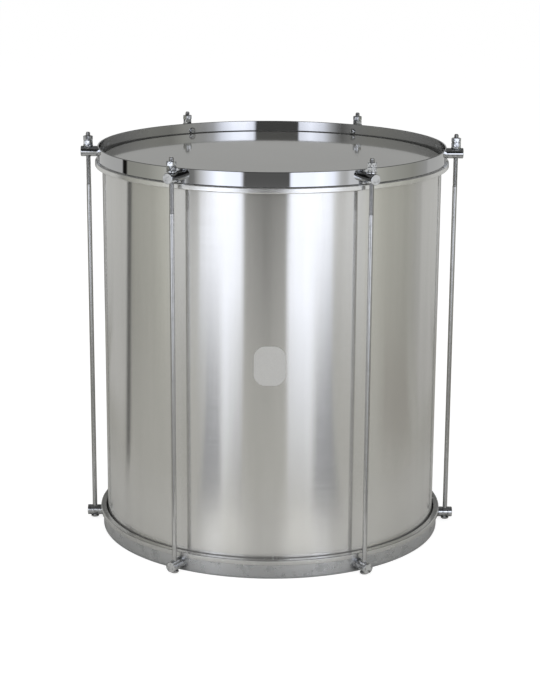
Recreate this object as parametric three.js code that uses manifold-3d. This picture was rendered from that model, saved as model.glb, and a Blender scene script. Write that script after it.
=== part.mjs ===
// Surdo: a two-headed bass drum. An aluminium shell, a film head at each end, and at each end a
// flesh hoop and a steel counterhoop, drawn together by tension rods that pass through radial lugs.
// Millimetres, +Z up. The drum stands on its lower counterhoop, and the origin is the centre of
// that hoop's rim. Lug 1 points along +X and the others follow counterclockwise seen from above.

import * as THREE from 'three';
import { mergeVertices } from 'three/addons/utils/BufferGeometryUtils.js';
import Module from 'manifold-3d';

const wasm = await Module();
wasm.setup();

// Clearances
const seatGap = 0.3;             // between two pieces that touch
const cutOverrun = 2;            // how far a cut runs past the face that it opens

// Shell: rolled sheet, both ends turned inward as the bearing edges that carry the heads
const shellLength = 500;
const shellOuterRadius = 227.25;
const shellWall = 1.2;
const bearingRadius = 3;         // outside radius of the turned edge
const bearingTurn = THREE.MathUtils.degToRad(135);

// Heads: film, its collar drawn down outside the bearing edge into the flesh hoop's slot
const filmThickness = 0.4;
const filmGrip = 1.6;            // what stays in the slot when the head is at its tightest
const tuningTravel = 2.54;       // the counterhoop's way down from the pose that is drawn

// Flesh hoop: a slotted ring that stands clear of the shell
const fleshHoopClearance = 2.45;
const fleshHoopHeight = 7;
const fleshHoopLedge = 3.5;      // how far it stands out past the counterhoop
const fleshHoopCorner = 1.6;     // radius of its two outer corners
const fleshHoopLip = 0.8;        // wall between the slot and the shell
const fleshHoopLipDrop = 1;      // that wall ends lower, under the collar

// Counterhoop: a flat steel band on edge on the flesh hoop
const hoopThickness = 1.9;
const hoopStand = 15;            // how far its rim stands past the bearing edge
const hoopWidth = 19;
const hoopEdgeBreak = 0.5;

// Lugs: round barrels that stand out of the counterhoops, cross-drilled for the rods
const lugCount = 6;
const lugRadius = 7;
const lugBelowRim = 10.6;        // from the hoop's rim to the barrel's axis
const lugOverhang = 9.8;         // from the rod's axis to the barrel's outer end
const lugEdgeBreak = 0.8;

// Lug screws: domed, from inside the hoop into the barrel
const screwRadius = 2.5;
const screwReach = 7.5;          // thread inside the barrel
const screwHeadRadius = 4.5;
const screwHeadHeight = 2.6;
const screwHeadRim = 0.7;        // straight part of the head, under its dome

// Tension rods: quarter-inch, headed at the bottom
const rodRadius = 3.175;
const rodStandOff = 13.4;        // from the counterhoop's outside to the rod's axis
const rodTip = 5.1;              // stands out of the lock nut
const rodTipBreak = 0.8;
const rodHeadRadius = 5.5;
const rodHeadHeight = 3;
const rodHeadRim = 1.4;          // straight part of the head

// Washers and nuts
const washerRadius = 6.6;
const washerThickness = 1.6;
const nutAcrossFlats = 11.1;
const nutHeight = 5.6;
const nutEdgeBreak = 0.7;

// How finely round pieces are divided. Rings have a flat at every lug.
const ringSides = 8 * lugCount;
const rodSides = 12;
const lugSides = 16;
const screwSides = 10;
const boreSides = 12;
const washerSides = 12;
const nutSides = 6;

// Angles of the nuts as they happened to be left, one step further at each rod
const tensionNutStep = THREE.MathUtils.degToRad(17);
const lockNutStep = THREE.MathUtils.degToRad(41);

// Places that follow from the sizes above. Radii first, from the shell outward.
const fleshHoopInnerRadius = shellOuterRadius + fleshHoopClearance;
const slotInnerRadius = fleshHoopInnerRadius + fleshHoopLip;
const collarRadius = slotInnerRadius + seatGap + filmThickness / 2;
const slotOuterRadius = collarRadius + filmThickness / 2 + seatGap;
const hoopInnerRadius = slotOuterRadius;
const hoopOuterRadius = hoopInnerRadius + hoopThickness;
const fleshHoopOuterRadius = hoopOuterRadius + fleshHoopLedge;
const rodCircleRadius = hoopOuterRadius + rodStandOff;
const lugInnerEnd = hoopOuterRadius + seatGap;
const lugOuterEnd = rodCircleRadius + lugOverhang;

// Heights at one end of the drum, measured outward from its bearing edge
const hoopFoot = hoopStand - hoopWidth;
const fleshHoopTop = hoopFoot - seatGap;
const collarDepth = filmGrip + tuningTravel;
const slotFloor = fleshHoopTop - collarDepth - seatGap;
const lugHeight = hoopStand - lugBelowRim;

// Heights above the floor
const bottomBearingZ = hoopStand;
const topBearingZ = bottomBearingZ + shellLength;
const bottomLugZ = bottomBearingZ - lugHeight;
const topLugZ = topBearingZ + lugHeight;
const rodHeadTopZ = bottomLugZ - lugRadius - seatGap;
const washerZ = topLugZ + lugRadius + seatGap;
const tensionNutZ = washerZ + washerThickness + seatGap;
const lockNutZ = tensionNutZ + nutHeight + seatGap;
const rodTopZ = lockNutZ + nutHeight + rodTip;

const point = (r, z) => new THREE.Vector2(r, z);

// A closed mesh whose triangles share their corners, without the ones that a pole collapses
function weld(geometry) {
  geometry.deleteAttribute('normal');
  geometry.deleteAttribute('uv');
  const merged = mergeVertices(geometry);
  const corners = merged.index.array;
  const kept = [];
  for (let i = 0; i < corners.length; i += 3) {
    const [a, b, c] = corners.slice(i, i + 3);
    if (a !== b && b !== c && c !== a) kept.push(a, b, c);
  }
  merged.setIndex(kept);
  return merged;
}

function toSolid(geometry) {
  const welded = weld(geometry);
  return new wasm.Manifold(new wasm.Mesh({
    numProp: 3,
    vertProperties: new Float32Array(welded.attributes.position.array),
    triVerts: new Uint32Array(welded.index.array),
  }));
}

function toGeometry(solid) {
  const mesh = solid.getMesh();
  const geometry = new THREE.BufferGeometry();
  geometry.setAttribute('position', new THREE.BufferAttribute(mesh.vertProperties, mesh.numProp));
  geometry.setIndex(new THREE.BufferAttribute(mesh.triVerts, 1));
  return geometry;
}

// Revolves a profile about Z. Its flats, not its corners, lie at the profile's radii, and one of
// them faces +X, so that a round piece of the true radius fits inside or outside it.
function revolve(profile, sides) {
  const widen = 1 / Math.cos(Math.PI / sides);
  const widened = profile.map((p) => point(p.x * widen, p.y));
  const geometry = new THREE.LatheGeometry(widened, sides, Math.PI / sides + Math.PI / 2);
  return weld(geometry.rotateX(Math.PI / 2));
}

const closed = (profile) => [...profile, profile[0].clone()];

// Points along an arc of a profile, from one angle to another
function arc(centreR, centreZ, radius, from, to, steps) {
  return Array.from({ length: steps + 1 }, (_, i) => {
    const angle = from + (to - from) * (i / steps);
    return point(centreR + radius * Math.cos(angle), centreZ + radius * Math.sin(angle));
  });
}

// The outline of a sheet of one thickness that follows a centre line, mitred at its bends
function sheetOutline(centreLine, thickness) {
  const directions = centreLine.slice(1).map((p, i) => p.clone().sub(centreLine[i]).normalize());
  const side = (sign) => centreLine.map((p, i) => {
    const before = directions[Math.max(i - 1, 0)];
    const after = directions[Math.min(i, directions.length - 1)];
    const normal = point(before.y + after.y, -before.x - after.x).normalize();
    const reach = thickness / 2 / normal.dot(point(before.y, -before.x));
    return p.clone().addScaledVector(normal, sign * reach);
  });
  return [...side(1), ...side(-1).reverse()];
}

// The shell, standing on its lower bearing edge at height 0
function shellGeometry() {
  const bend = bearingRadius - shellWall / 2;
  const centre = shellOuterRadius - bearingRadius;
  const bendSteps = 3;
  const centreLine = [
    ...arc(centre, bearingRadius, bend, -bearingTurn, 0, bendSteps),
    ...arc(centre, shellLength - bearingRadius, bend, 0, bearingTurn, bendSteps),
  ];
  return revolve(closed(sheetOutline(centreLine, shellWall)), ringSides);
}

// A head. Height 0 is the bearing edge that it lies on.
function filmGeometry() {
  const bend = bearingRadius + seatGap + filmThickness / 2;
  const centre = point(shellOuterRadius - bearingRadius, -bearingRadius);
  const mouth = point(collarRadius, fleshHoopTop);
  const toMouth = mouth.clone().sub(centre);
  const leaves = Math.atan2(toMouth.y, toMouth.x) + Math.acos(bend / toMouth.length());
  const bendSteps = 2;
  const centreLine = [
    point(0, centre.y + bend),
    ...arc(centre.x, centre.y, bend, Math.PI / 2, leaves, bendSteps),
    mouth,
    point(collarRadius, fleshHoopTop - collarDepth),
  ];
  return revolve(sheetOutline(centreLine, filmThickness), ringSides);
}

// A flesh hoop, with the slot that holds the film and a ledge that carries the counterhoop
function fleshHoopGeometry() {
  const foot = fleshHoopTop - fleshHoopHeight;
  const cornerRadius = fleshHoopOuterRadius - fleshHoopCorner;
  const cornerSteps = 2;
  return revolve(closed([
    point(fleshHoopInnerRadius, foot),
    ...arc(cornerRadius, foot + fleshHoopCorner, fleshHoopCorner, -Math.PI / 2, 0, cornerSteps),
    ...arc(cornerRadius, fleshHoopTop - fleshHoopCorner, fleshHoopCorner, 0, Math.PI / 2, cornerSteps),
    point(slotOuterRadius, fleshHoopTop),
    point(slotOuterRadius, slotFloor),
    point(slotInnerRadius, slotFloor),
    point(slotInnerRadius, fleshHoopTop - fleshHoopLipDrop),
    point(fleshHoopInnerRadius, fleshHoopTop - fleshHoopLipDrop),
  ]), ringSides);
}

// A round bar along +X between two distances from the drum's axis
function radialBar(radius, sides, from, to) {
  const bar = new THREE.CylinderGeometry(radius, radius, to - from, sides);
  return bar.rotateZ(Math.PI / 2).translate((from + to) / 2, 0, 0);
}

// Corner radius of a faceted bore whose flats clear a round piece of this radius
const boreCorner = (radius) => (radius + seatGap) / Math.cos(Math.PI / boreSides);

// A counterhoop, its edges broken, with a hole for each lug screw
function counterhoopGeometry() {
  const e = hoopEdgeBreak;
  let solid = toSolid(revolve(closed([
    point(hoopInnerRadius + e, hoopFoot),
    point(hoopOuterRadius - e, hoopFoot),
    point(hoopOuterRadius, hoopFoot + e),
    point(hoopOuterRadius, hoopStand - e),
    point(hoopOuterRadius - e, hoopStand),
    point(hoopInnerRadius + e, hoopStand),
    point(hoopInnerRadius, hoopStand - e),
    point(hoopInnerRadius, hoopFoot + e),
  ]), ringSides));
  for (let i = 0; i < lugCount; i += 1) {
    const hole = radialBar(
      boreCorner(screwRadius), boreSides, hoopInnerRadius - cutOverrun, hoopOuterRadius + cutOverrun,
    );
    hole.translate(0, 0, lugHeight).rotateZ((i * 2 * Math.PI) / lugCount);
    solid = solid.subtract(toSolid(hole));
  }
  return toGeometry(solid);
}

// A lug along +X: bored across for the rod, and from its inner end for the screw
function lugGeometry() {
  const barrel = revolve([
    point(0, lugInnerEnd),
    point(lugRadius, lugInnerEnd),
    point(lugRadius, lugOuterEnd - lugEdgeBreak),
    point(lugRadius - lugEdgeBreak, lugOuterEnd),
    point(0, lugOuterEnd),
  ], lugSides).rotateY(Math.PI / 2);
  const boreRadius = boreCorner(rodRadius);
  const boreLength = 2 * (lugRadius + cutOverrun);
  const rodBore = new THREE.CylinderGeometry(boreRadius, boreRadius, boreLength, boreSides)
    .rotateX(Math.PI / 2)
    .translate(rodCircleRadius, 0, 0);
  const screwHole = radialBar(
    boreCorner(screwRadius), boreSides, lugInnerEnd - cutOverrun, lugInnerEnd + screwReach + seatGap,
  );
  return toGeometry(toSolid(barrel).subtract(toSolid(rodBore)).subtract(toSolid(screwHole)));
}

// A lug screw along +X, its domed head inside the hoop
function screwGeometry() {
  const underHead = hoopInnerRadius - seatGap;
  const dome = screwHeadHeight - screwHeadRim;
  const domeSteps = 2;
  const domeProfile = Array.from({ length: domeSteps + 1 }, (_, i) => {
    const angle = (Math.PI / 2) * (1 - i / domeSteps);
    return point(
      screwHeadRadius * Math.cos(angle),
      underHead - screwHeadRim - dome * Math.sin(angle),
    );
  });
  return revolve([
    ...domeProfile,
    point(screwHeadRadius, underHead),
    point(screwRadius, underHead),
    point(screwRadius, lugInnerEnd + screwReach),
    point(0, lugInnerEnd + screwReach),
  ], screwSides).rotateY(Math.PI / 2);
}

// A tension rod from its head to its tip, about its own axis and at its height above the floor
function rodGeometry() {
  const headFoot = rodHeadTopZ - rodHeadHeight;
  const dome = rodHeadHeight - rodHeadRim;
  return revolve([
    point(0, headFoot),
    point(rodHeadRadius - dome, headFoot),
    point(rodHeadRadius, headFoot + dome),
    point(rodHeadRadius, rodHeadTopZ),
    point(rodRadius, rodHeadTopZ),
    point(rodRadius, rodTopZ - rodTipBreak),
    point(rodRadius - rodTipBreak, rodTopZ),
    point(0, rodTopZ),
  ], rodSides);
}

// A washer about its own axis, resting at height 0
function washerGeometry() {
  const holeRadius = rodRadius + seatGap;
  return revolve(closed([
    point(holeRadius, 0),
    point(washerRadius, 0),
    point(washerRadius, washerThickness),
    point(holeRadius, washerThickness),
  ]), washerSides);
}

// A hexagon nut about its own axis, resting at height 0, its faces and its bore's mouths chamfered
function nutGeometry() {
  const corner = nutAcrossFlats / 2 / Math.cos(Math.PI / nutSides);
  const ring = (radius, sides) => Array.from({ length: sides }, (_, i) => {
    const angle = (i * 2 * Math.PI) / sides;
    return point(radius * Math.cos(angle), radius * Math.sin(angle));
  });
  const outline = new THREE.Shape(ring(corner, nutSides));
  outline.holes.push(new THREE.Path(ring(boreCorner(rodRadius), boreSides)));
  const nut = new THREE.ExtrudeGeometry(outline, {
    depth: nutHeight - 2 * nutEdgeBreak,
    bevelThickness: nutEdgeBreak,
    bevelSize: nutEdgeBreak,
    bevelOffset: -nutEdgeBreak,
    bevelSegments: 1,
  });
  return weld(nut.translate(0, 0, nutEdgeBreak));
}

// Finishes, as they look in use
const finish = (color, roughness, metalness = 1) => (
  new THREE.MeshStandardMaterial({ color, roughness, metalness })
);
const polishedAluminium = finish('#c6c7c4', 0.22);
const satinAluminium = finish('#b9bab8', 0.38);
const chrome = finish('#dcdee0', 0.06);
const wornChrome = finish('#aeb0b1', 0.28);
const zincPlate = finish('#c9ccce', 0.2);
const greyFilm = finish('#8b8b88', 0.16, 0);

const surdo = new THREE.Group();

function add(parent, name, geometry, material) {
  const mesh = new THREE.Mesh(geometry, material);
  mesh.name = name;
  parent.add(mesh);
  return mesh;
}

const film = filmGeometry();
const fleshHoop = fleshHoopGeometry();
const counterhoop = counterhoopGeometry();
const lug = lugGeometry();
const lugScrew = screwGeometry();

// One end of the drum. The bottom end is the top one turned over about X, which also turns its
// azimuths round, so there they count the other way.
function drumEnd(side, bearingZ, hoopFinish) {
  const end = new THREE.Group();
  const turnedOver = side === 'bottom';
  end.position.z = bearingZ;
  end.rotation.x = turnedOver ? Math.PI : 0;
  add(end, `${side}_head_film`, film, greyFilm);
  add(end, `${side}_flesh_hoop`, fleshHoop, satinAluminium);
  add(end, `${side}_counterhoop`, counterhoop, hoopFinish);
  for (let i = 0; i < lugCount; i += 1) {
    const azimuth = (i * 2 * Math.PI) / lugCount;
    const station = new THREE.Group();
    station.rotation.z = turnedOver ? -azimuth : azimuth;
    station.position.z = lugHeight;
    add(station, `${side}_lug_${i + 1}`, lug, chrome);
    add(station, `${side}_lug_screw_${i + 1}`, lugScrew, zincPlate);
    end.add(station);
  }
  return end;
}

add(surdo, 'shell', shellGeometry(), polishedAluminium).position.z = bottomBearingZ;
surdo.add(drumEnd('top', topBearingZ, chrome));
surdo.add(drumEnd('bottom', bottomBearingZ, wornChrome));

// The rods, and what is threaded on their top ends
const rod = rodGeometry();
const washer = washerGeometry();
const nut = nutGeometry();
for (let i = 0; i < lugCount; i += 1) {
  const azimuth = (i * 2 * Math.PI) / lugCount;
  const station = new THREE.Group();
  station.position.set(rodCircleRadius * Math.cos(azimuth), rodCircleRadius * Math.sin(azimuth), 0);
  add(station, `tension_rod_${i + 1}`, rod, zincPlate);
  add(station, `washer_${i + 1}`, washer, zincPlate).position.z = washerZ;
  const tensionNut = add(station, `tension_nut_${i + 1}`, nut, zincPlate);
  tensionNut.position.z = tensionNutZ;
  tensionNut.rotation.z = i * tensionNutStep;
  const lockNut = add(station, `lock_nut_${i + 1}`, nut, zincPlate);
  lockNut.position.z = lockNutZ;
  lockNut.rotation.z = i * lockNutStep;
  surdo.add(station);
}

export default surdo;
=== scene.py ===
"""A surdo, the large bass drum of samba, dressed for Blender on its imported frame.

Metres, +Z up. The drum stands on its lower hoop, whose rim's centre is the origin, and lug 1 points along +X.
"""
import math

import bmesh
import bpy
from mathutils import Matrix, Vector


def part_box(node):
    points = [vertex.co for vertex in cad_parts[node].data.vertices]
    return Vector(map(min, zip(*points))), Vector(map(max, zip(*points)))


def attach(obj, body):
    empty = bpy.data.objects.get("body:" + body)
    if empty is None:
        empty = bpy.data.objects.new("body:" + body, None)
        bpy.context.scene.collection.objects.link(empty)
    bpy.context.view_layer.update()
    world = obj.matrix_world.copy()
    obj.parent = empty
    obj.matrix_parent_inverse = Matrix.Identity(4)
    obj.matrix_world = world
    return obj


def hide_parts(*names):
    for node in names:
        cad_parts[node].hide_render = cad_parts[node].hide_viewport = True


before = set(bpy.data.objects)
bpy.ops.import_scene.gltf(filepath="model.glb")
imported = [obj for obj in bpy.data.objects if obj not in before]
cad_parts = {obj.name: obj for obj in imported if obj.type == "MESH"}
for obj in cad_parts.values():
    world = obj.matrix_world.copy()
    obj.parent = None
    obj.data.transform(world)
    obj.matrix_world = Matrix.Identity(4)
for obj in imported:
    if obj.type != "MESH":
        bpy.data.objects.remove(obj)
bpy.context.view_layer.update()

# Shell
# One aluminium sheet rolled into a tube, its seam dressed flush at the back, and polished as it turned, so
# that it mirrors the room in upright bands. Both ends are turned inward: the bearing edges under the heads.
shell_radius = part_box("shell")[1].x
shell_length = 0.5
shell_foot = 0.015
shell_top = shell_foot + shell_length
shell_wall = 0.0012
edge_radius = 0.003
edge_turn = math.radians(135)
close = 1e-5
doubles_within = 1e-6


def choose(piece):
    """Selects one piece alone and makes it the active one."""
    bpy.ops.object.select_all(action="DESELECT")
    piece.select_set(True)
    bpy.context.view_layer.objects.active = piece


def start(name, primitive, **size_and_place):
    """Adds a primitive at its size and place, keeps that place in its mesh, and opens it for modelling."""
    bpy.ops.object.select_all(action="DESELECT")
    primitive(**size_and_place)
    piece = bpy.context.object
    piece.name = piece.data.name = name
    bpy.ops.object.transform_apply(location=True, rotation=True, scale=True)
    bpy.ops.object.mode_set(mode="EDIT")
    return piece


def pick(kind, test):
    """Selects the VERT, EDGE or FACE parts of the open piece whose corners all lie where test is true."""
    mesh = bpy.context.edit_object.data
    bpy.ops.mesh.select_mode(type=kind)
    bpy.ops.mesh.select_all(action="DESELECT")
    shape = bmesh.from_edit_mesh(mesh)
    for part in {"VERT": shape.verts, "EDGE": shape.edges, "FACE": shape.faces}[kind]:
        corners = [part] if kind == "VERT" else part.verts
        part.select_set(all(test(corner.co) for corner in corners))
    shape.select_flush_mode()
    bmesh.update_edit_mesh(mesh)


def draw_out(radius, height, stations):
    """Extrudes the picked round edge or end, now at this radius and height, through more such stations."""
    for next_radius, next_height in stations:
        bpy.ops.mesh.extrude_region()
        grow = next_radius / radius
        bpy.ops.transform.resize(value=(grow, grow, 1), center_override=(0, 0, 0))
        bpy.ops.transform.translate(value=(0, 0, next_height - height))
        radius, height = next_radius, next_height


def arc(centre_radius, centre_height, radius, start_angle, end_angle, steps):
    """Stations along an arc, after its first point. Angle 0 is outward and 90 degrees is up."""
    turn = (end_angle - start_angle) / steps
    angles = [start_angle + turn * (i + 1) for i in range(steps)]
    return [(centre_radius + radius * math.cos(a), centre_height + radius * math.sin(a)) for a in angles]


def close_up(piece):
    """Merges what the turning doubled, points all faces outward and closes the piece."""
    bpy.ops.mesh.select_all(action="SELECT")
    bpy.ops.mesh.remove_doubles(threshold=doubles_within)
    bpy.ops.mesh.normals_make_consistent(inside=False)
    bpy.ops.object.mode_set(mode="OBJECT")
    return piece


def apply(piece, kind, **settings):
    """Adds one modifier to a piece and applies it."""
    bpy.context.view_layer.objects.active = piece
    modifier = piece.modifiers.new(kind.lower(), kind)
    for key, value in settings.items():
        setattr(modifier, key, value)
    bpy.ops.object.modifier_apply(modifier=modifier.name)


def coat(piece, material, smooth_below=35):
    """Smooths a piece below this many degrees and gives it its finish."""
    choose(piece)
    bpy.ops.object.shade_smooth_by_angle(angle=math.radians(smooth_below))
    piece.data.materials.clear()
    piece.data.materials.append(material)


def dress(piece, material, body, cad_node, smooth_below=35):
    """Finishes a piece and sets it on its body in place of its CAD node."""
    coat(piece, material, smooth_below)
    apply(piece, "WEIGHTED_NORMAL", keep_sharp=True)
    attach(piece, body)
    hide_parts(cad_node)


def own_place(tree):
    """The place on a piece, in the piece's own coordinates."""
    return tree.nodes.new("ShaderNodeTexCoord").outputs["Object"]


def finish(name, **sockets):
    """A new material, its tree, its Principled shader with these constants, and its place on the piece."""
    material = bpy.data.materials.new(name)
    material.use_nodes = True
    tree = material.node_tree
    shader = tree.nodes["Principled BSDF"]
    for socket, value in sockets.items():
        shader.inputs[socket.replace("_", " ")].default_value = value
    return material, tree, shader, own_place(tree)


def node(tree, kind, inputs, **settings):
    """A shader node, each of its inputs set to a value or joined to another node's output."""
    made = tree.nodes.new("ShaderNode" + kind)
    for key, value in settings.items():
        setattr(made, key, value)
    for key, value in inputs.items():
        if isinstance(value, bpy.types.NodeSocket):
            tree.links.new(value, made.inputs[key])
        else:
            made.inputs[key].default_value = value
    return made


def new_group(name, inputs, outputs):
    """A shader node group with named value or vector inputs and value outputs, its tree and its two ends."""
    tree = bpy.data.node_groups.new(name, "ShaderNodeTree")
    for title, default in inputs.items():
        kind = "NodeSocketVector" if default is None else "NodeSocketFloat"
        socket = tree.interface.new_socket(name=title, in_out="INPUT", socket_type=kind)
        if default is not None:
            socket.default_value = default
    for title in outputs:
        tree.interface.new_socket(name=title, in_out="OUTPUT", socket_type="NodeSocketFloat")
    return tree, tree.nodes.new("NodeGroupInput").outputs, tree.nodes.new("NodeGroupOutput").inputs


# Marks drawn out one way, such as polishing lines or a slow ripple, finer for a higher number
marks_tree, marks_in, marks_out = new_group(
    "drawn_marks", {"Position": None, "Round": 100.0, "Along": 100.0, "Detail": 3.0}, ("Marks",))
fineness = node(marks_tree, "CombineXYZ", {
    "X": marks_in["Round"], "Y": marks_in["Round"], "Z": marks_in["Along"]})
drawn_place = node(marks_tree, "VectorMath", {
    0: marks_in["Position"], 1: fineness.outputs[0]}, operation="MULTIPLY")
drawn = node(marks_tree, "TexNoise", {
    "Vector": drawn_place.outputs[0], "Scale": 1.0, "Detail": marks_in["Detail"], "Roughness": 0.6})
marks_tree.links.new(drawn.outputs["Fac"], marks_out["Marks"])


def marks(tree, position, across, along, detail=3.0):
    """Places the drawn marks in a material, with how fine they are round the drum and along it."""
    placed = node(tree, "Group", {
        "Position": position, "Round": across, "Along": along, "Detail": detail}, node_tree=marks_tree)
    return placed.outputs["Marks"]


def blend_tones(tree, value, low, high, start_at=0.3, end_at=0.7):
    """A colour that goes from low to high as the value rises."""
    tone = node(tree, "ValToRGB", {"Fac": value})
    for stop, place_at, colour in zip(tone.color_ramp.elements, (start_at, end_at), (low, high)):
        stop.position, stop.color = place_at, (*colour, 1)
    return tone.outputs["Color"]


def between(tree, value, low, high, start_at=0.3, end_at=0.7):
    """A number that goes from low to high as the value rises."""
    scaled = node(tree, "MapRange", {
        "Value": value, "From Min": start_at, "From Max": end_at, "To Min": low, "To Max": high})
    return scaled.outputs["Result"]


def emboss(tree, shader, height, strength, distance):
    """Gives a finish its fine relief, from a height that changes over the surface."""
    relief = node(tree, "Bump", {"Height": height, "Strength": strength, "Distance": distance})
    tree.links.new(relief.outputs["Normal"], shader.inputs["Normal"])


# A dressed weld or seam up the back of the drum: a hair line, and a soft border where the heat and file went
weld_tree, weld_in, weld_out = new_group(
    "dressed_seam", {"Position": None, "Border": 0.004}, ("Line", "Border"))
weld_place = node(weld_tree, "SeparateXYZ", {"Vector": weld_in["Position"]})
aside = node(weld_tree, "Math", {0: weld_place.outputs["X"]}, operation="ABSOLUTE").outputs[0]
behind = node(weld_tree, "Math", {0: weld_place.outputs["Y"], 1: 0.0}, operation="GREATER_THAN").outputs[0]
hair_line = 0.0005
for title, width in (("Line", hair_line), ("Border", weld_in["Border"])):
    near = node(weld_tree, "MapRange", {
        "Value": aside, "From Min": 0.0, "From Max": width, "To Min": 1.0, "To Max": 0.0})
    mask = node(weld_tree, "Math", {0: near.outputs["Result"], 1: behind}, operation="MULTIPLY")
    weld_tree.links.new(mask.outputs[0], weld_out[title])

shell_material, tree, shader, position = finish(
    "polished_aluminium_sheet", Metallic=0.86, Anisotropic=1.0, Anisotropic_Rotation=0.25)
polish = marks(tree, position, 26, 1100, 4.0)
seam = node(tree, "Group", {"Position": position, "Border": 0.006}, node_tree=weld_tree)
seam_dark = node(tree, "MixRGB", {
    0: between(tree, seam.outputs["Line"], 0.0, 0.5, 0.0, 1.0),
    1: blend_tones(tree, marks(tree, position, 70, 2.2), (0.78, 0.775, 0.76), (0.82, 0.815, 0.80)),
    2: (0.3, 0.3, 0.29, 1)})
tree.links.new(seam_dark.outputs[0], shader.inputs["Base Color"])
seam_matt = node(tree, "Math", {
    0: seam.outputs["Border"], 1: 0.18, 2: between(tree, polish, 0.145, 0.185)}, operation="MULTIPLY_ADD")
tree.links.new(seam_matt.outputs[0], shader.inputs["Roughness"])
emboss(tree, shader, polish, 0.006, 0.0002)

shell = start(
    "polished_shell", bpy.ops.mesh.primitive_cylinder_add, vertices=192, radius=shell_radius,
    depth=shell_top - shell_foot - 2 * edge_radius, end_fill_type="NOTHING",
    location=(0, 0, (shell_foot + shell_top) / 2))
turned = shell_radius - edge_radius
for height, turn in ((shell_top - edge_radius, edge_turn), (shell_foot + edge_radius, -edge_turn)):
    pick("EDGE", lambda co: abs(co.z - height) < close)
    draw_out(shell_radius, height, arc(turned, height, edge_radius, 0, turn, 9))
close_up(shell)
apply(shell, "SOLIDIFY", thickness=shell_wall, offset=-1)
dress(shell, shell_material, "drum", "shell")

# Heads
# Grey glossy plastic film at each end, drawn over the bearing edge. Its collar goes down outside the
# edge into the flesh hoop's slot, which grips it.
film_thickness = 0.00035
fit_gap = 0.00005
collar_radius = 0.231
collar_depth = 0.0041
slot_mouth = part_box("top_flesh_hoop")[1].z
collar_foot = slot_mouth - collar_depth

film_material, tree, shader, position = finish("grey_drum_film", Roughness=0.07, IOR=1.45)
tree.links.new(
    blend_tones(tree, marks(tree, position, 7, 7, 4.0), (0.110, 0.110, 0.104), (0.124, 0.124, 0.118)),
    shader.inputs["Base Color"])
emboss(tree, shader, marks(tree, position, 300, 300), 0.02, 0.0001)

top_head = start(
    "top_film", bpy.ops.mesh.primitive_circle_add, vertices=192, radius=turned, fill_type="TRIFAN",
    location=(0, 0, shell_top + film_thickness + fit_gap))
bend = edge_radius + film_thickness + fit_gap
bend_foot = shell_top - edge_radius
across, down = collar_radius - turned, slot_mouth - bend_foot
leaves = math.atan2(down, across) + math.acos(bend / math.hypot(across, down))
pick("VERT", lambda co: math.hypot(co.x, co.y) > turned - close)
draw_out(turned, bend_foot + bend, [
    *arc(turned, bend_foot, bend, math.pi / 2, leaves, 7),
    (collar_radius, slot_mouth),
    (collar_radius, collar_foot)])
close_up(top_head)
apply(top_head, "SOLIDIFY", thickness=film_thickness, offset=-1)


def place(model, name, location=(0, 0, 0), turn=0.0, turned_over=False):
    """A copy of a finished model with its own mesh. Turned over, a top piece becomes its bottom twin."""
    choose(model)
    bpy.ops.object.duplicate(linked=False)
    copy = bpy.context.object
    copy.name = copy.data.name = name
    copy.rotation_euler = (math.pi if turned_over else 0, 0, turn)
    copy.location = location
    if turned_over:
        copy.location.z = shell_foot + shell_top
    bpy.ops.object.transform_apply(location=True, rotation=True, scale=True)
    return copy


bottom_head = place(top_head, "bottom_film", turned_over=True)
dress(top_head, film_material, "drum", "top_head_film")
dress(bottom_head, film_material, "drum", "bottom_head_film")

# Flesh hoops
# Satin aluminium rings, extruded with a slot and bent round. They stand clear of the shell, hold the
# films by their collars, and carry the counterhoops on the ledge outside the slot.
ring_low, ring_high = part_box("top_flesh_hoop")
ring_foot, ring_top, ring_outer = ring_low.z, ring_high.z, ring_high.x
ring_clearance = 0.00245
ring_inner = shell_radius + ring_clearance
ring_corner = 0.0013
slot_wall, slot_width, slot_depth = 0.0008, 0.001, 0.00444
slot_inner = ring_inner + slot_wall
slot_outer = slot_inner + slot_width
slot_floor = ring_top - slot_depth
lip_drop = 0.001
lip_top = ring_top - lip_drop


def start_section(name, inner, outer, foot, top):
    """Opens a flat rectangle, the section of a ring, that stands beside the axis over +X."""
    middle = ((inner + outer) / 2, 0, (foot + top) / 2)
    piece = start(
        name, bpy.ops.mesh.primitive_plane_add, size=1, rotation=(math.pi / 2, 0, 0), location=middle)
    bpy.ops.mesh.select_all(action="SELECT")
    bpy.ops.transform.resize(value=(outer - inner, 1, top - foot), center_override=middle)
    return piece


def round_corners(test, radius, steps):
    """Rounds the section's corners that test picks."""
    pick("VERT", test)
    bpy.ops.mesh.bevel(affect="VERTICES", offset_type="OFFSET", offset=radius, segments=steps)


def spin_section(steps):
    """Turns the open section's outline once round the axis."""
    bpy.ops.mesh.select_mode(type="FACE")
    bpy.ops.mesh.select_all(action="SELECT")
    bpy.ops.mesh.dissolve_faces()
    bpy.ops.mesh.select_all(action="SELECT")
    bpy.ops.mesh.delete(type="ONLY_FACE")
    bpy.ops.mesh.select_mode(type="EDGE")
    bpy.ops.mesh.select_all(action="SELECT")
    bpy.ops.mesh.spin(steps=steps, angle=2 * math.pi, center=(0, 0, 0), axis=(0, 0, 1))


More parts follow.
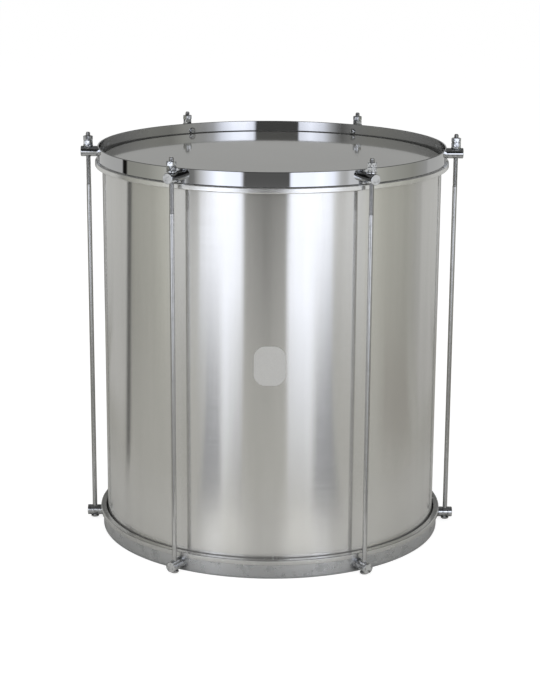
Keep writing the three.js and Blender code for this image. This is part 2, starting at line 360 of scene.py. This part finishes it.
top_ring = start_section("top_slotted_ring", ring_inner, ring_outer, ring_foot, ring_top)
round_corners(lambda co: co.x > ring_outer - close, ring_corner, 5)
for cut_at, facing in (
        ((slot_inner, 0, 0), (1, 0, 0)), ((slot_outer, 0, 0), (1, 0, 0)),
        ((0, 0, slot_floor), (0, 0, 1)), ((0, 0, lip_top), (0, 0, 1))):
    bpy.ops.mesh.select_all(action="SELECT")
    bpy.ops.mesh.bisect(plane_co=cut_at, plane_no=facing)
pick("FACE", lambda co: slot_inner - close < co.x < slot_outer + close and co.z > slot_floor - close)
bpy.ops.mesh.delete(type="FACE")
pick("FACE", lambda co: co.x < slot_inner + close and co.z > lip_top - close)
bpy.ops.mesh.delete(type="FACE")
spin_section(192)
close_up(top_ring)


def lower_and_upper(tree, position, lower, upper):
    """Mixes two colours, the first for the pieces at the drum's foot and the second for those at its top."""
    height = node(tree, "SeparateXYZ", {"Vector": position}).outputs["Z"]
    return node(tree, "MixRGB", {
        0: between(tree, height, 0.0, 1.0, 0.05, 0.3), 1: lower, 2: upper}).outputs[0]


# The lower ring is painted darker than the upper one: a painted shade near the floor
ring_material, tree, shader, position = finish("satin_aluminium", Metallic=0.9)
satin = marks(tree, position, 90, 1400)
tree.links.new(between(tree, satin, 0.2, 0.28), shader.inputs["Roughness"])
clean = blend_tones(tree, marks(tree, position, 35, 35), (0.82, 0.82, 0.81), (0.91, 0.91, 0.90))
# Painted shade: the ring's tone mixed a third of the way to dark grey, used at the drum's foot
shaded_at_foot = node(tree, "MixRGB", {0: 0.3, 1: clean, 2: (0.2, 0.2, 0.19, 1)}).outputs[0]
tree.links.new(lower_and_upper(tree, position, shaded_at_foot, clean), shader.inputs["Base Color"])
emboss(tree, shader, satin, 0.02, 0.0002)

bottom_ring = place(top_ring, "bottom_slotted_ring", turned_over=True)
dress(top_ring, ring_material, "top_hoop", "top_flesh_hoop")
dress(bottom_ring, ring_material, "drum", "bottom_flesh_hoop")

# Counterhoops
# Flat steel bands on edge, bent round, butt-welded and chromed, their edges rounded over. The lower one
# stands on the floor, so its chrome is scuffed and dull.
band_low, band_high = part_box("top_counterhoop")
band_foot, band_top, band_outer = band_low.z, band_high.z, band_high.x
band_thickness = 0.0019
band_inner = band_outer - band_thickness
band_corner = 0.0009

top_band = start_section("top_band", band_inner, band_outer, band_foot, band_top)
round_corners(lambda co: True, band_corner, 4)
spin_section(256)
close_up(top_band)

# Soft patches of smearing, from 0 where the plating is clean to 1
scuff_tree, scuff_in, scuff_out = new_group(
    "plating_scuffs", {"Position": None, "Fineness": 30.0}, ("Scuffs",))
smear = node(scuff_tree, "TexNoise", {
    "Vector": scuff_in["Position"], "Scale": scuff_in["Fineness"], "Detail": 6.0, "Roughness": 0.65,
    "Distortion": 0.4})
scuff_tree.links.new(between(scuff_tree, smear.outputs["Fac"], 0.0, 1.0, 0.48, 0.72), scuff_out["Scuffs"])


def scuffs(tree, position, fineness):
    """Places the scuffs in a material."""
    placed = node(tree, "Group", {"Position": position, "Fineness": fineness}, node_tree=scuff_tree)
    return placed.outputs["Scuffs"]


chrome_material, tree, shader, position = finish("bright_chrome", Metallic=1.0)
weld_side = node(tree, "Mapping", {"Vector": position, "Rotation": (0, 0, math.radians(25))})
weld = node(tree, "Group", {"Position": weld_side.outputs[0], "Border": 0.005}, node_tree=weld_tree)
tree.links.new(
    blend_tones(tree, weld.outputs["Line"], (0.65, 0.655, 0.67), (0.45, 0.45, 0.45), 0.0, 1.0),
    shader.inputs["Base Color"])
gloss = node(tree, "Math", {
    0: weld.outputs["Border"], 1: 0.12, 2: between(tree, scuffs(tree, position, 30), 0.02, 0.08, 0.0, 1.0)},
    operation="MULTIPLY_ADD")
tree.links.new(gloss.outputs[0], shader.inputs["Roughness"])
emboss(tree, shader, marks(tree, position, 28, 90, 1.0), 0.03, 0.0003)

worn_material, tree, shader, position = finish("scuffed_chrome", Metallic=1.0)
wear = scuffs(tree, position, 55)
height = node(tree, "SeparateXYZ", {"Vector": position}).outputs["Z"]
foot_wear = between(tree, height, 1.0, 0.0, 0.0006, 0.0035)
worn = node(tree, "Math", {0: wear, 1: foot_wear}, operation="MAXIMUM").outputs[0]
tree.links.new(between(tree, worn, 0.2, 0.5, 0.0, 1.0), shader.inputs["Roughness"])
tree.links.new(
    blend_tones(tree, worn, (0.64, 0.65, 0.67), (0.47, 0.48, 0.49), 0.0, 1.0), shader.inputs["Base Color"])
emboss(tree, shader, marks(tree, position, 60, 120), 0.3, 0.0004)

bottom_band = place(top_band, "bottom_band", turned_over=True)
dress(top_band, chrome_material, "top_hoop", "top_counterhoop")
dress(bottom_band, worn_material, "drum", "bottom_counterhoop")

# Lugs
# Plain round barrels turned from steel bar and chromed, standing radially out of the counterhoops. Each is
# drilled across for its rod; the screw that holds it to the hoop goes into it from behind.
lug_count = 6
azimuths = [i * math.tau / lug_count for i in range(lug_count)]
lug_low, lug_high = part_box("top_lug_1")
lug_radius = (lug_high.z - lug_low.z) / 2
lug_height = (lug_high.z + lug_low.z) / 2
lug_sink = 0.0001
lug_foot = band_outer - lug_sink
lug_end = lug_high.x
lug_edge = 0.0008
rod_low, rod_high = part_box("tension_rod_1")
rod_circle = (rod_high.x + rod_low.x) / 2
bore_radius = 0.0034
bore_reach = 0.0062
mouth_radius = 0.0045
mouth_reach = 0.0075
drill_overrun = 0.002

lug_model = start(
    "lug", bpy.ops.mesh.primitive_cylinder_add, vertices=48, radius=lug_radius, depth=lug_end - lug_foot,
    rotation=(0, math.pi / 2, 0), location=((lug_foot + lug_end) / 2, 0, lug_height))
pick("EDGE", lambda co: co.x > lug_end - close)
bpy.ops.mesh.bevel(offset=lug_edge, segments=4)
close_up(lug_model)


def cut(piece, cutter, operation="DIFFERENCE"):
    """Cuts a piece with a cutter, which is then thrown away."""
    apply(piece, "BOOLEAN", operation=operation, object=cutter, solver="EXACT")
    bpy.data.objects.remove(cutter)


drill = start(
    "drill", bpy.ops.mesh.primitive_cylinder_add, vertices=32, radius=bore_radius, depth=2 * bore_reach,
    location=(0, 0, 0))
for side in (1, -1):
    pick("FACE", lambda co: side * co.z > bore_reach - close)
    draw_out(bore_radius, side * bore_reach, [
        (mouth_radius, side * mouth_reach), (mouth_radius, side * (lug_radius + drill_overrun))])
close_up(drill)
drill.location = (rod_circle, 0, lug_height)
cut(lug_model, drill)

# The lower lugs are painted darker in blotches, a painted shade near the floor; the upper ones' chrome is
# only smeared
lug_material, tree, shader, position = finish("lug_chrome", Metallic=1.0)
smeared = scuffs(tree, position, 160)
tree.links.new(between(tree, smeared, 0.03, 0.12, 0.0, 1.0), shader.inputs["Roughness"])
# Painted shade: dark blotches for the lugs at the drum's foot
shaded_blotches = blend_tones(tree, scuffs(tree, position, 240), (0.76, 0.77, 0.78), (0.06, 0.06, 0.065), 0.0, 0.8)
bright = blend_tones(tree, smeared, (0.7, 0.71, 0.72), (0.4, 0.405, 0.41), 0.0, 1.0)
tree.links.new(lower_and_upper(tree, position, shaded_blotches, bright), shader.inputs["Base Color"])
emboss(tree, shader, marks(tree, position, 260, 260, 2.0), 0.09, 0.0003)


def fit_round(model, name, cad_name, material):
    """Copies a model to its places round each hoop, turned over on the lower one, and throws it away."""
    for i, azimuth in enumerate(azimuths):
        for end, body in (("top", "top_hoop"), ("bottom", "drum")):
            piece = place(model, f"{end}_{name}_{i + 1}", turn=azimuth, turned_over=end == "bottom")
            dress(piece, material, body, f"{end}_{cad_name}_{i + 1}")
    bpy.data.objects.remove(model)


fit_round(lug_model, "barrel", "lug", lug_material)

# Lug screws
# Zinc-plated steel screws with domed, cross-recessed heads. Each goes from inside the hoop into its
# barrel, and only the head shows.
screw_head_radius = 0.0045
screw_head_height = 0.0026
screw_dome = 0.0019
screw_radius = 0.0025
screw_seat = band_inner + fit_gap
screw_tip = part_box("top_lug_screw_1")[1].x
recess_length, recess_width, recess_height = 0.0034, 0.0008, 0.002
recess_middle = (0, 0, 0.0023)

screw_model = start(
    "lug_screw", bpy.ops.mesh.primitive_cylinder_add, vertices=40, radius=screw_head_radius,
    depth=screw_head_height, location=(0, 0, screw_head_height / 2))
pick("EDGE", lambda co: co.z > screw_head_height - close)
bpy.ops.mesh.bevel(offset=screw_dome, segments=7)
pick("FACE", lambda co: co.z < close)
draw_out(screw_head_radius, 0, [(screw_radius, 0), (screw_radius, screw_seat - screw_tip)])
close_up(screw_model)
for turn, along, across in ((0, recess_length, recess_width), (math.pi / 2, recess_width, recess_length)):
    blade = start(
        "driver_blade", bpy.ops.mesh.primitive_cube_add, size=1, rotation=(0, 0, turn),
        location=recess_middle)
    pick("FACE", lambda co: True)
    bpy.ops.transform.resize(value=(along, across, recess_height), center_override=recess_middle)
    close_up(blade)
    cut(screw_model, blade)

fastener_material, tree, shader, position = finish("zinc_plate", Metallic=1.0)
mottle = scuffs(tree, position, 380)
tree.links.new(between(tree, mottle, 0.1, 0.3, 0.0, 1.0), shader.inputs["Roughness"])
tree.links.new(
    blend_tones(tree, mottle, (0.72, 0.73, 0.74), (0.1, 0.105, 0.11), 0.0, 0.6), shader.inputs["Base Color"])
emboss(tree, shader, marks(tree, position, 380, 380, 2.0), 0.6, 0.0006)

screw_model.rotation_euler = (0, -math.pi / 2, 0)
screw_model.location = (screw_seat, 0, lug_height)
choose(screw_model)
bpy.ops.object.transform_apply(location=True, rotation=True, scale=True)
fit_round(screw_model, "screw", "lug_screw", fastener_material)

# Tension rods
# Quarter-inch steel rods, straight, with a domed head under the lower lug and about 70 mm of
# twenty-to-the-inch thread at the top, where the nuts draw the upper hoop down.
inch = 0.0254
rod_radius = inch / 8
rod_head_radius = (rod_high.x - rod_low.x) / 2
dome_height, head_edge = 0.0016, 0.0015
dome_angles = [math.radians(degrees) for degrees in (15, 30, 45, 60, 75)]
head_rim = rod_low.z + dome_height
head_seat = head_rim + head_edge
rod_tip = rod_high.z
tip_height, tip_inset = 0.0008, 0.0007
thread_length = 0.0707
thread_foot = rod_tip - thread_length
thread_pitch = inch / 20
thread_depth = 0.0007
thread_runout = 0.0011
rod_turn = 0.7

rod_model = start(
    "rod", bpy.ops.mesh.primitive_cylinder_add, vertices=32, radius=rod_head_radius,
    depth=head_seat - head_rim, location=(0, 0, (head_seat + head_rim) / 2))
pick("FACE", lambda co: co.z < head_rim + close)
draw_out(rod_head_radius, head_rim, [
    (rod_head_radius * math.cos(a), head_rim - dome_height * math.sin(a)) for a in dome_angles])
pick("FACE", lambda co: co.z > head_seat - close)
core = rod_radius - thread_depth
draw_out(rod_head_radius, head_seat, [
    (rod_radius, head_seat), (rod_radius, thread_foot), (core, thread_foot + thread_depth),
    (core, rod_tip - tip_height), (core - tip_inset, rod_tip)])
close_up(rod_model)

thread_middle = thread_foot + thread_pitch / 2
thread = start(
    "thread", bpy.ops.mesh.primitive_plane_add, size=thread_pitch, rotation=(math.pi / 2, 0, 0),
    location=(rod_radius - thread_pitch / 2, 0, thread_middle))
pick("VERT", lambda co: co.x < rod_radius - thread_pitch / 2)
bpy.ops.mesh.delete(type="VERT")
bpy.ops.mesh.select_all(action="SELECT")
bpy.ops.mesh.subdivide(number_cuts=7)
for pitch_share, depth_share in ((0, 1), (0.125, 0.667), (0.25, 0.333)):
    pick("VERT", lambda co: abs(abs(co.z - thread_middle) - pitch_share * thread_pitch) < close)
    bpy.ops.transform.translate(value=(-thread_depth * depth_share, 0, 0))
bpy.ops.object.mode_set(mode="OBJECT")
turns = int((thread_length - thread_runout) / thread_pitch)
apply(thread, "SCREW", angle=math.tau, screw_offset=thread_pitch, iterations=turns, steps=20,
      render_steps=20, use_merge_vertices=True, merge_threshold=doubles_within)
bpy.ops.object.mode_set(mode="EDIT")
bpy.ops.mesh.select_all(action="SELECT")
bpy.ops.mesh.fill_holes(sides=0)
close_up(thread)
choose(rod_model)
thread.select_set(True)
bpy.ops.object.join()

rod_material, tree, shader, position = finish("plated_rod_steel", Metallic=1.0)
mottle = scuffs(tree, position, 90)
tree.links.new(between(tree, mottle, 0.14, 0.24, 0.0, 1.0), shader.inputs["Roughness"])
tree.links.new(
    blend_tones(tree, mottle, (0.56, 0.56, 0.56), (0.49, 0.49, 0.485), 0.0, 1.0), shader.inputs["Base Color"])
emboss(tree, shader, marks(tree, position, 900, 40), 0.06, 0.0001)

rod_feet = [(rod_circle * math.cos(azimuth), rod_circle * math.sin(azimuth), 0) for azimuth in azimuths]
for i, foot in enumerate(rod_feet):
    rod = place(rod_model, f"threaded_rod_{i + 1}", location=foot, turn=i * rod_turn)
    dress(rod, rod_material, "drum", f"tension_rod_{i + 1}", smooth_below=25)
bpy.data.objects.remove(rod_model)

# Washers and nuts
# A plain washer on each upper lug, then two hexagon nuts: the lower one tightens the head, and the one
# on top locks it. Zinc-plated steel, stamped and cold-formed, chamfered at both faces.
washer_radius = 0.0066
washer_thickness = 0.0019
washer_corner = 0.0003
washer_foot = lug_high.z + fit_gap
washer_top = washer_foot + washer_thickness
nut_across_flats = 0.0111
nut_height = 0.0058
nut_face_share = 0.97
nut_mouth_radius = 0.0041
nut_mouth_depth = 0.0005
nut_mouth_rise = 0.0007
nut_feet = {"tension_nut": washer_top + fit_gap, "lock_nut": washer_top + nut_height + 3 * fit_gap}
nut_turns = {"tension_nut": math.radians(17), "lock_nut": math.radians(41)}

washer_model = start_section("washer", bore_radius, washer_radius, washer_foot, washer_top)
round_corners(lambda co: co.x > washer_radius - close, washer_corner, 3)
spin_section(48)
close_up(washer_model)

nut_corner = nut_across_flats / 2 / math.cos(math.pi / 6)
nut_face = nut_across_flats / 2 * nut_face_share
chamfer = (nut_corner - nut_face) * math.tan(math.radians(30))
nut_model = start(
    "nut", bpy.ops.mesh.primitive_cylinder_add, vertices=6, radius=nut_corner, depth=nut_height,
    rotation=(0, 0, math.pi / 6), location=(0, 0, nut_height / 2))
close_up(nut_model)
blank_radius = nut_corner + close
blank = start(
    "round_blank", bpy.ops.mesh.primitive_cylinder_add, vertices=72, radius=blank_radius,
    depth=nut_height - 2 * chamfer, location=(0, 0, nut_height / 2))
for height, face in ((nut_height - chamfer, nut_height), (chamfer, 0)):
    pick("FACE", lambda co: abs(co.z - height) < close)
    draw_out(blank_radius, height, [(nut_face, face)])
close_up(blank)
cut(nut_model, blank, "INTERSECT")
drill = start(
    "nut_drill", bpy.ops.mesh.primitive_cylinder_add, vertices=32, radius=bore_radius,
    depth=nut_height - 2 * nut_mouth_depth, location=(0, 0, nut_height / 2))
for height, side in ((nut_height - nut_mouth_depth, 1), (nut_mouth_depth, -1)):
    pick("FACE", lambda co: abs(co.z - height) < close)
    draw_out(bore_radius, height, [
        (nut_mouth_radius, height + side * nut_mouth_rise),
        (nut_mouth_radius, height + side * drill_overrun)])
close_up(drill)
cut(nut_model, drill)

for i, (right, back, floor_level) in enumerate(rod_feet):
    washer = place(washer_model, f"plain_washer_{i + 1}", location=(right, back, floor_level))
    dress(washer, fastener_material, "top_hoop", f"washer_{i + 1}")
    for kind, foot in nut_feet.items():
        name = f"{kind}_{i + 1}"
        nut = place(nut_model, f"hexagon_{name}", location=(right, back, foot), turn=i * nut_turns[kind])
        dress(nut, fastener_material, name, name, smooth_below=20)
bpy.data.objects.remove(washer_model)
bpy.data.objects.remove(nut_model)

# Label
# A plain pale label of satin foil stuck on the front of the shell, its corners cut to a large radius. It
# follows the shell's curve.
label_width, label_height = 0.040, 0.051
label_corner = 0.015
label_thickness = 0.00012
block_lift, block_depth = 0.004, 0.012
label_middle = Vector((-0.001, -shell_radius - block_lift, 0.283))
sleeve_height = 0.08

label = start(
    "plain_label", bpy.ops.mesh.primitive_plane_add, size=1, rotation=(math.pi / 2, 0, 0),
    location=label_middle)
bpy.ops.mesh.select_all(action="SELECT")
bpy.ops.transform.resize(value=(label_width, 1, label_height), center_override=label_middle)
bpy.ops.mesh.bevel(affect="VERTICES", offset=label_corner, segments=12)
bpy.ops.mesh.select_all(action="SELECT")
bpy.ops.mesh.extrude_region()
bpy.ops.transform.translate(value=(0, block_depth, 0))
close_up(label)
sleeve = start(
    "sleeve", bpy.ops.mesh.primitive_cylinder_add, vertices=576, radius=shell_radius + label_thickness,
    depth=sleeve_height, end_fill_type="NOTHING", location=(0, 0, label_middle.z))
close_up(sleeve)
apply(sleeve, "SOLIDIFY", thickness=label_thickness, offset=-1)
cut(label, sleeve, "INTERSECT")

label_material, tree, shader, position = finish("pale_label_foil", Roughness=0.3)
tree.links.new(
    blend_tones(tree, marks(tree, position, 500, 500), (0.51, 0.51, 0.505), (0.545, 0.545, 0.54)),
    shader.inputs["Base Color"])
coat(label, label_material)
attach(label, "drum")

# Studio
# A white floor and white surroundings, with a large soft lamp overhead and one on each side. Rings of
# boards round the drum, which only gloss and metal mirror, stand for a room with grey sides and two broad lit
# patches before the drum, with a dark gap between them. Glowing patches on the floor, also seen only in
# gloss, paint darker and paler floor into the metal's reflection.
bpy.context.scene.view_settings.view_transform = "Standard"
white = (1, 1, 1, 1)


def stage_material(name):
    """An empty material for the studio, its tree and its output's surface."""
    material = bpy.data.materials.new(name)
    material.use_nodes = True
    tree = material.node_tree
    tree.nodes.remove(tree.nodes["Principled BSDF"])
    return material, tree, tree.nodes["Material Output"].inputs["Surface"]


bpy.ops.object.select_all(action="DESELECT")
bpy.ops.mesh.primitive_plane_add(size=60, location=(0, 0, 0))
floor = bpy.context.object
floor.name = "floor"
floor_material, tree, surface = stage_material("white_paper_floor")
paper = node(tree, "BsdfDiffuse", {"Color": (0.25, 0.25, 0.25, 1)})
glow = node(tree, "Emission", {"Color": white, "Strength": 0.86})
shown_white = node(tree, "AddShader", {0: paper.outputs[0], 1: glow.outputs[0]})
out_from = node(tree, "VectorMath", {0: own_place(tree)}, operation="LENGTH").outputs["Value"]
# Seen only in gloss, the floor is painted paler within about half a metre of the drum, a painted pool of
# light, and grows rougher further out
sheen = node(tree, "BsdfPrincipled", {
    "Base Color": blend_tones(tree, out_from, (0.48, 0.475, 0.455), (0.372, 0.368, 0.336), 0.4, 0.6),
    "Roughness": between(tree, out_from, 0.3, 1.0, 0.42, 0.64), "Specular IOR Level": 0.3})
path = tree.nodes.new("ShaderNodeLightPath")
shown = node(tree, "MixShader", {
    0: path.outputs["Is Camera Ray"], 1: sheen.outputs[0], 2: shown_white.outputs[0]})
tree.links.new(shown.outputs[0], surface)
floor.data.materials.append(floor_material)

world = bpy.context.scene.world or bpy.data.worlds.new("white_room")
bpy.context.scene.world = world
world.use_nodes = True
tree = world.node_tree
tree.nodes.clear()
path = tree.nodes.new("ShaderNodeLightPath")
seen = path.outputs["Is Camera Ray"]
for ray in ("Is Glossy Ray", "Is Transmission Ray"):
    seen = node(tree, "Math", {0: seen, 1: path.outputs[ray]}, operation="MAXIMUM").outputs[0]
level = node(tree, "MapRange", {"Value": seen, "To Min": 0.55, "To Max": 1.0})
sky = node(tree, "Background", {"Color": white, "Strength": level.outputs["Result"]})
node(tree, "OutputWorld", {"Surface": sky.outputs[0]})


def hang(thing, material):
    """Gives a board or floor patch its material, and shows it to gloss and metal alone."""
    thing.data.materials.append(material)
    thing.visible_camera = thing.visible_diffuse = thing.visible_shadow = False
    thing.visible_transmission = thing.visible_volume_scatter = False


def light_up(tree, surface, colour, cover):
    """Makes a board or floor patch glow as far as it covers what stands behind it."""
    glow = node(tree, "Emission", {"Color": colour, "Strength": 1.0})
    clear = node(tree, "BsdfTransparent", {"Color": white})
    hung = node(tree, "MixShader", {0: cover, 1: clear.outputs[0], 2: glow.outputs[0]})
    tree.links.new(hung.outputs[0], surface)


cool_from, cool_to = 0.5, 1.3
cool_green, cool_blue = 0.04, 0.18
plain_blue = 0.97
warm_from, warm_to, warm_loss = 60, 102, 0.08


def board_colour(bearing, level, cover):
    """A board's colour: the brighter the bluer, and a little warm at the drum's two sides."""
    cool = min(max((level - cool_from) / (cool_to - cool_from), 0), 1)
    warm = warm_loss if warm_from < abs(bearing) < warm_to else 0
    return level, level * (1 + cool_green * cool), level * (plain_blue + cool_blue * cool - warm), cover


def boards(name, distance, foot, top, fade, lights):
    """A ring of boards round the drum, whose lights run into each other.

    Each light is its bearing, in degrees from straight before the drum and positive to the right, how bright
    it is below the fade and above it, and how far it covers what stands behind, which is all if not given.
    """
    ring = start(
        name, bpy.ops.mesh.primitive_cylinder_add, vertices=144, radius=distance, depth=top - foot,
        end_fill_type="NOTHING", location=(0, 0, (foot + top) / 2))
    bpy.ops.object.mode_set(mode="OBJECT")
    material, tree, surface = stage_material(name + "_paper")
    place_on = own_place(tree)
    faced = node(tree, "Mapping", {"Vector": place_on, "Rotation": (0, 0, math.pi / 2)})
    round_about = node(tree, "TexGradient", {"Vector": faced.outputs[0]}, gradient_type="RADIAL")
    rows = []
    for row in (0, 1):
        light = node(tree, "ValToRGB", {"Fac": round_about.outputs["Fac"]})
        stops = light.color_ramp.elements
        stops.remove(stops[-1])
        for i, (bearing, low, high, *cover) in enumerate(lights):
            stop = stops[0] if i == 0 else stops.new(bearing / 360 + 0.5)
            stop.color = board_colour(bearing, (low, high)[row], cover[0] if cover else 1)
        stops[0].position = lights[0][0] / 360 + 0.5
        rows.append(light)
    height = node(tree, "SeparateXYZ", {"Vector": place_on}).outputs["Z"]
    shown = node(tree, "MixRGB", {
        0: between(tree, height, 0.0, 1.0, *fade), 1: rows[0].outputs["Color"], 2: rows[1].outputs["Color"]})
    light_up(tree, surface, shown.outputs[0], rows[0].outputs["Alpha"])
    hang(ring, material)
    return ring


boards("near_boards", distance=1.3, foot=0.0, top=0.62, fade=(0.0, 0.24), lights=[
    (-180, 0.1, 0.1), (-158, 0.1, 0.1), (-148, 0.42, 0.53), (-102.6, 0.42, 0.51), (-101.4, 0.27, 0.32),
    (-80, 0.33, 0.38), (-68, 0.44, 0.52), (-60, 0.4, 0.7), (-45.4, 0.45, 0.79), (-43.4, 0.14, 1.52),
    (-36.5, 0.25, 1.6), (-31.5, 0.68, 1.58), (-26.5, 0.9, 1.42), (-17.8, 0.68, 1.34), (-15.5, 0.4, 0.42),
    (-3.5, 0.39, 0.07), (8.4, 0.42, 0.37), (9.8, 0.62, 1.42), (24, 0.9, 1.42), (29, 0.6, 1.54),
    (36.6, 0.05, 1.36), (38.4, 0.24, 0.68), (44.5, 0.4, 0.76), (56, 0.5, 0.72), (66, 0.44, 0.54),
    (74, 0.38, 0.44), (96, 0.3, 0.34), (111, 0.36, 0.4), (113.5, 0.44, 0.51), (150, 0.44, 0.53),
    (160, 0.1, 0.1), (180, 0.1, 0.1)])
leaning_post = boards("leaning_post", distance=0.52, foot=0.0, top=0.555, fade=(0.0, 0.36), lights=[
    (-96.7, 0.01, 0.01, 0), (-95.8, 0.01, 0.01), (-92.5, 0.01, 0.01), (-91.6, 0.01, 0.01, 0)])
leaning_post.rotation_euler.x = math.radians(6.5)
boards("strip_lights", distance=0.52, foot=0.0, top=0.31, fade=(0.0, 0.36), lights=[
    (-27.5, 0.6, 1.36, 0), (-24.5, 0.6, 1.36), (-20, 0.42, 1.17), (-14.9, 0.3, 1.0), (-14.3, 0.3, 1.0, 0),
    (8.7, 0.45, 1.2, 0), (9.3, 0.45, 1.2), (15, 0.47, 1.3), (20.5, 0.58, 1.36), (24.5, 0.58, 1.36, 0)])
boards("hoop_cards", distance=1.28, foot=0.31, top=0.62, fade=(0.31, 0.35), lights=[
    (-53, 0.2, 0.2, 0), (-50, 0.2, 0.2), (-46.5, 0.24, 0.24), (-43.5, 0.55, 0.55), (-38.5, 1.0, 1.0),
    (-33, 1.42, 1.42), (-30, 1.42, 1.42, 0), (-17, 0.15, 0.12, 0), (-15.6, 0.15, 0.12), (10, 0.15, 0.12),
    (11.4, 0.15, 0.12, 0), (29, 1.42, 1.42, 0), (32, 1.42, 1.42), (36, 1.3, 1.3), (38.5, 0.95, 0.95),
    (41, 0.6, 0.6), (44.3, 0.54, 0.54), (47, 0.78, 0.78), (49, 0.78, 0.78, 0)])
far_distance, ceiling_height = 3.0, 3.5
boards("far_boards", distance=far_distance, foot=0.4, top=ceiling_height, fade=(1.35, 1.6), lights=[
    (-180, 0.57, 0.3), (-170, 0.57, 0.3), (-164, 0.15, 0.1), (-125, 0.25, 0.1), (-77, 0.33, 0.1),
    (-60, 0.33, 0.1), (-50, 0.1, 0.1), (-43, 0.84, 0.12), (-37, 1.85, 0.12), (-28, 2.6, 0.12),
    (-19.5, 2.0, 0.12), (-18.5, 0.01, 0.01), (12, 0.01, 0.01), (13, 2.3, 0.12), (20, 2.8, 0.12),
    (28, 2.7, 0.12), (36, 2.0, 0.12), (43, 0.9, 0.12), (50, 0.62, 0.1), (66, 0.56, 0.1), (77, 0.33, 0.1),
    (95, 0.36, 0.1), (125, 0.25, 0.1), (164, 0.15, 0.1), (170, 0.57, 0.3), (180, 0.57, 0.3)])
ceiling = start(
    "ceiling_board", bpy.ops.mesh.primitive_circle_add, vertices=48, radius=far_distance, fill_type="NGON",
    location=(0, 0, ceiling_height))
bpy.ops.object.mode_set(mode="OBJECT")
ceiling_material, tree, surface = stage_material("dark_ceiling")
light_up(tree, surface, (0.1, 0.1, 0.1, 1), 1.0)
hang(ceiling, ceiling_material)

# Glowing patches laid on the floor, soft at their rims, which paint darker and paler floor into the metal's
# reflection: each one's place, the way it runs, its length, its width and its tone
patch_lift = 0.0005
for name, (right, back), bearing, length, width, tone in (
        ("left_painted_dark_patch", (-0.46, -0.68), -39, 0.75, 0.17, (0.2, 0.205, 0.22)),
        ("right_painted_dark_patch", (0.43, -0.70), 36.5, 0.8, 0.2, (0.2, 0.205, 0.22)),
        ("side_painted_dark_patch", (0.94, -0.085), 94.5, 0.62, 0.48, (0.26, 0.245, 0.215)),
        ("left_painted_pale_patch", (-0.898, 0.519), -113.7, 0.6, 0.6, (0.47, 0.465, 0.45)),
        ("right_painted_pale_patch", (0.862, 0.568), 117.2, 0.55, 0.6, (0.42, 0.415, 0.4))):
    bpy.ops.object.select_all(action="DESELECT")
    bpy.ops.mesh.primitive_plane_add(
        size=1, rotation=(0, 0, math.radians(bearing)), location=(right, back, patch_lift))
    floor_patch = bpy.context.object
    floor_patch.name = name
    floor_patch.scale = (width, length, 1)
    material, tree, surface = stage_material(name)
    from_middle = node(tree, "VectorMath", {0: own_place(tree)}, operation="ABSOLUTE")
    sides = node(tree, "SeparateXYZ", {"Vector": from_middle.outputs[0]}).outputs
    rim = node(tree, "Math", {0: sides["X"], 1: sides["Y"]}, operation="MAXIMUM").outputs[0]
    light_up(tree, surface, (*tone, 1), between(tree, rim, 1.0, 0.0, 0.35, 0.5))
    hang(floor_patch, material)

# Lamps that nothing mirrors. The two small ones stand for what the strip lights throw on the floor
for name, spot, aim, size, power, spread in (
        ("overhead_lamp", (0, -0.2, 2.4), (0, -0.2, 0), 2.6, 23, 180),
        ("left_lamp", (-2.2, -2.6, 1.6), (0, 0, 0), 1.4, 30, 180),
        ("right_lamp", (2.2, -2.6, 1.6), (0, 0, 0), 1.4, 30, 180),
        ("left_strip_glow", (-0.2, -0.48, 0.2), (-0.14, -0.35, 0), 0.08, 0.05, 50),
        ("right_strip_glow", (0.15, -0.5, 0.2), (0.11, -0.37, 0), 0.08, 0.05, 50)):
    bpy.ops.object.light_add(type="AREA", location=spot)
    lamp = bpy.context.object
    lamp.name = name
    lamp.data.size = size
    lamp.data.energy = power
    lamp.data.spread = math.radians(spread)
    lamp.visible_glossy = False
    lamp.rotation_euler = (Vector(aim) - lamp.location).to_track_quat("-Z", "Y").to_euler()

# Camera
# Before the drum and a little above it, looking down at it, at the photograph's angle and framing. It
# leans by a third of a degree, as the photograph does.
pitch, yaw, roll = math.radians(14.72), math.radians(0.101), math.radians(0.334)
camera_data = bpy.data.cameras.new("camera")
camera_data.lens = 95.67
camera_data.sensor_width = 36
camera_data.clip_end = 50
camera = bpy.data.objects.new("camera", camera_data)
bpy.context.scene.collection.objects.link(camera)
camera.location = (0.0032, -2.4833, 0.8970)
turned_to = Matrix.Rotation(yaw, 3, "Z") @ Matrix.Rotation(math.pi / 2 - pitch, 3, "X")
camera.rotation_euler = (turned_to @ Matrix.Rotation(roll, 3, "Z")).to_euler()
bpy.context.scene.camera = camera
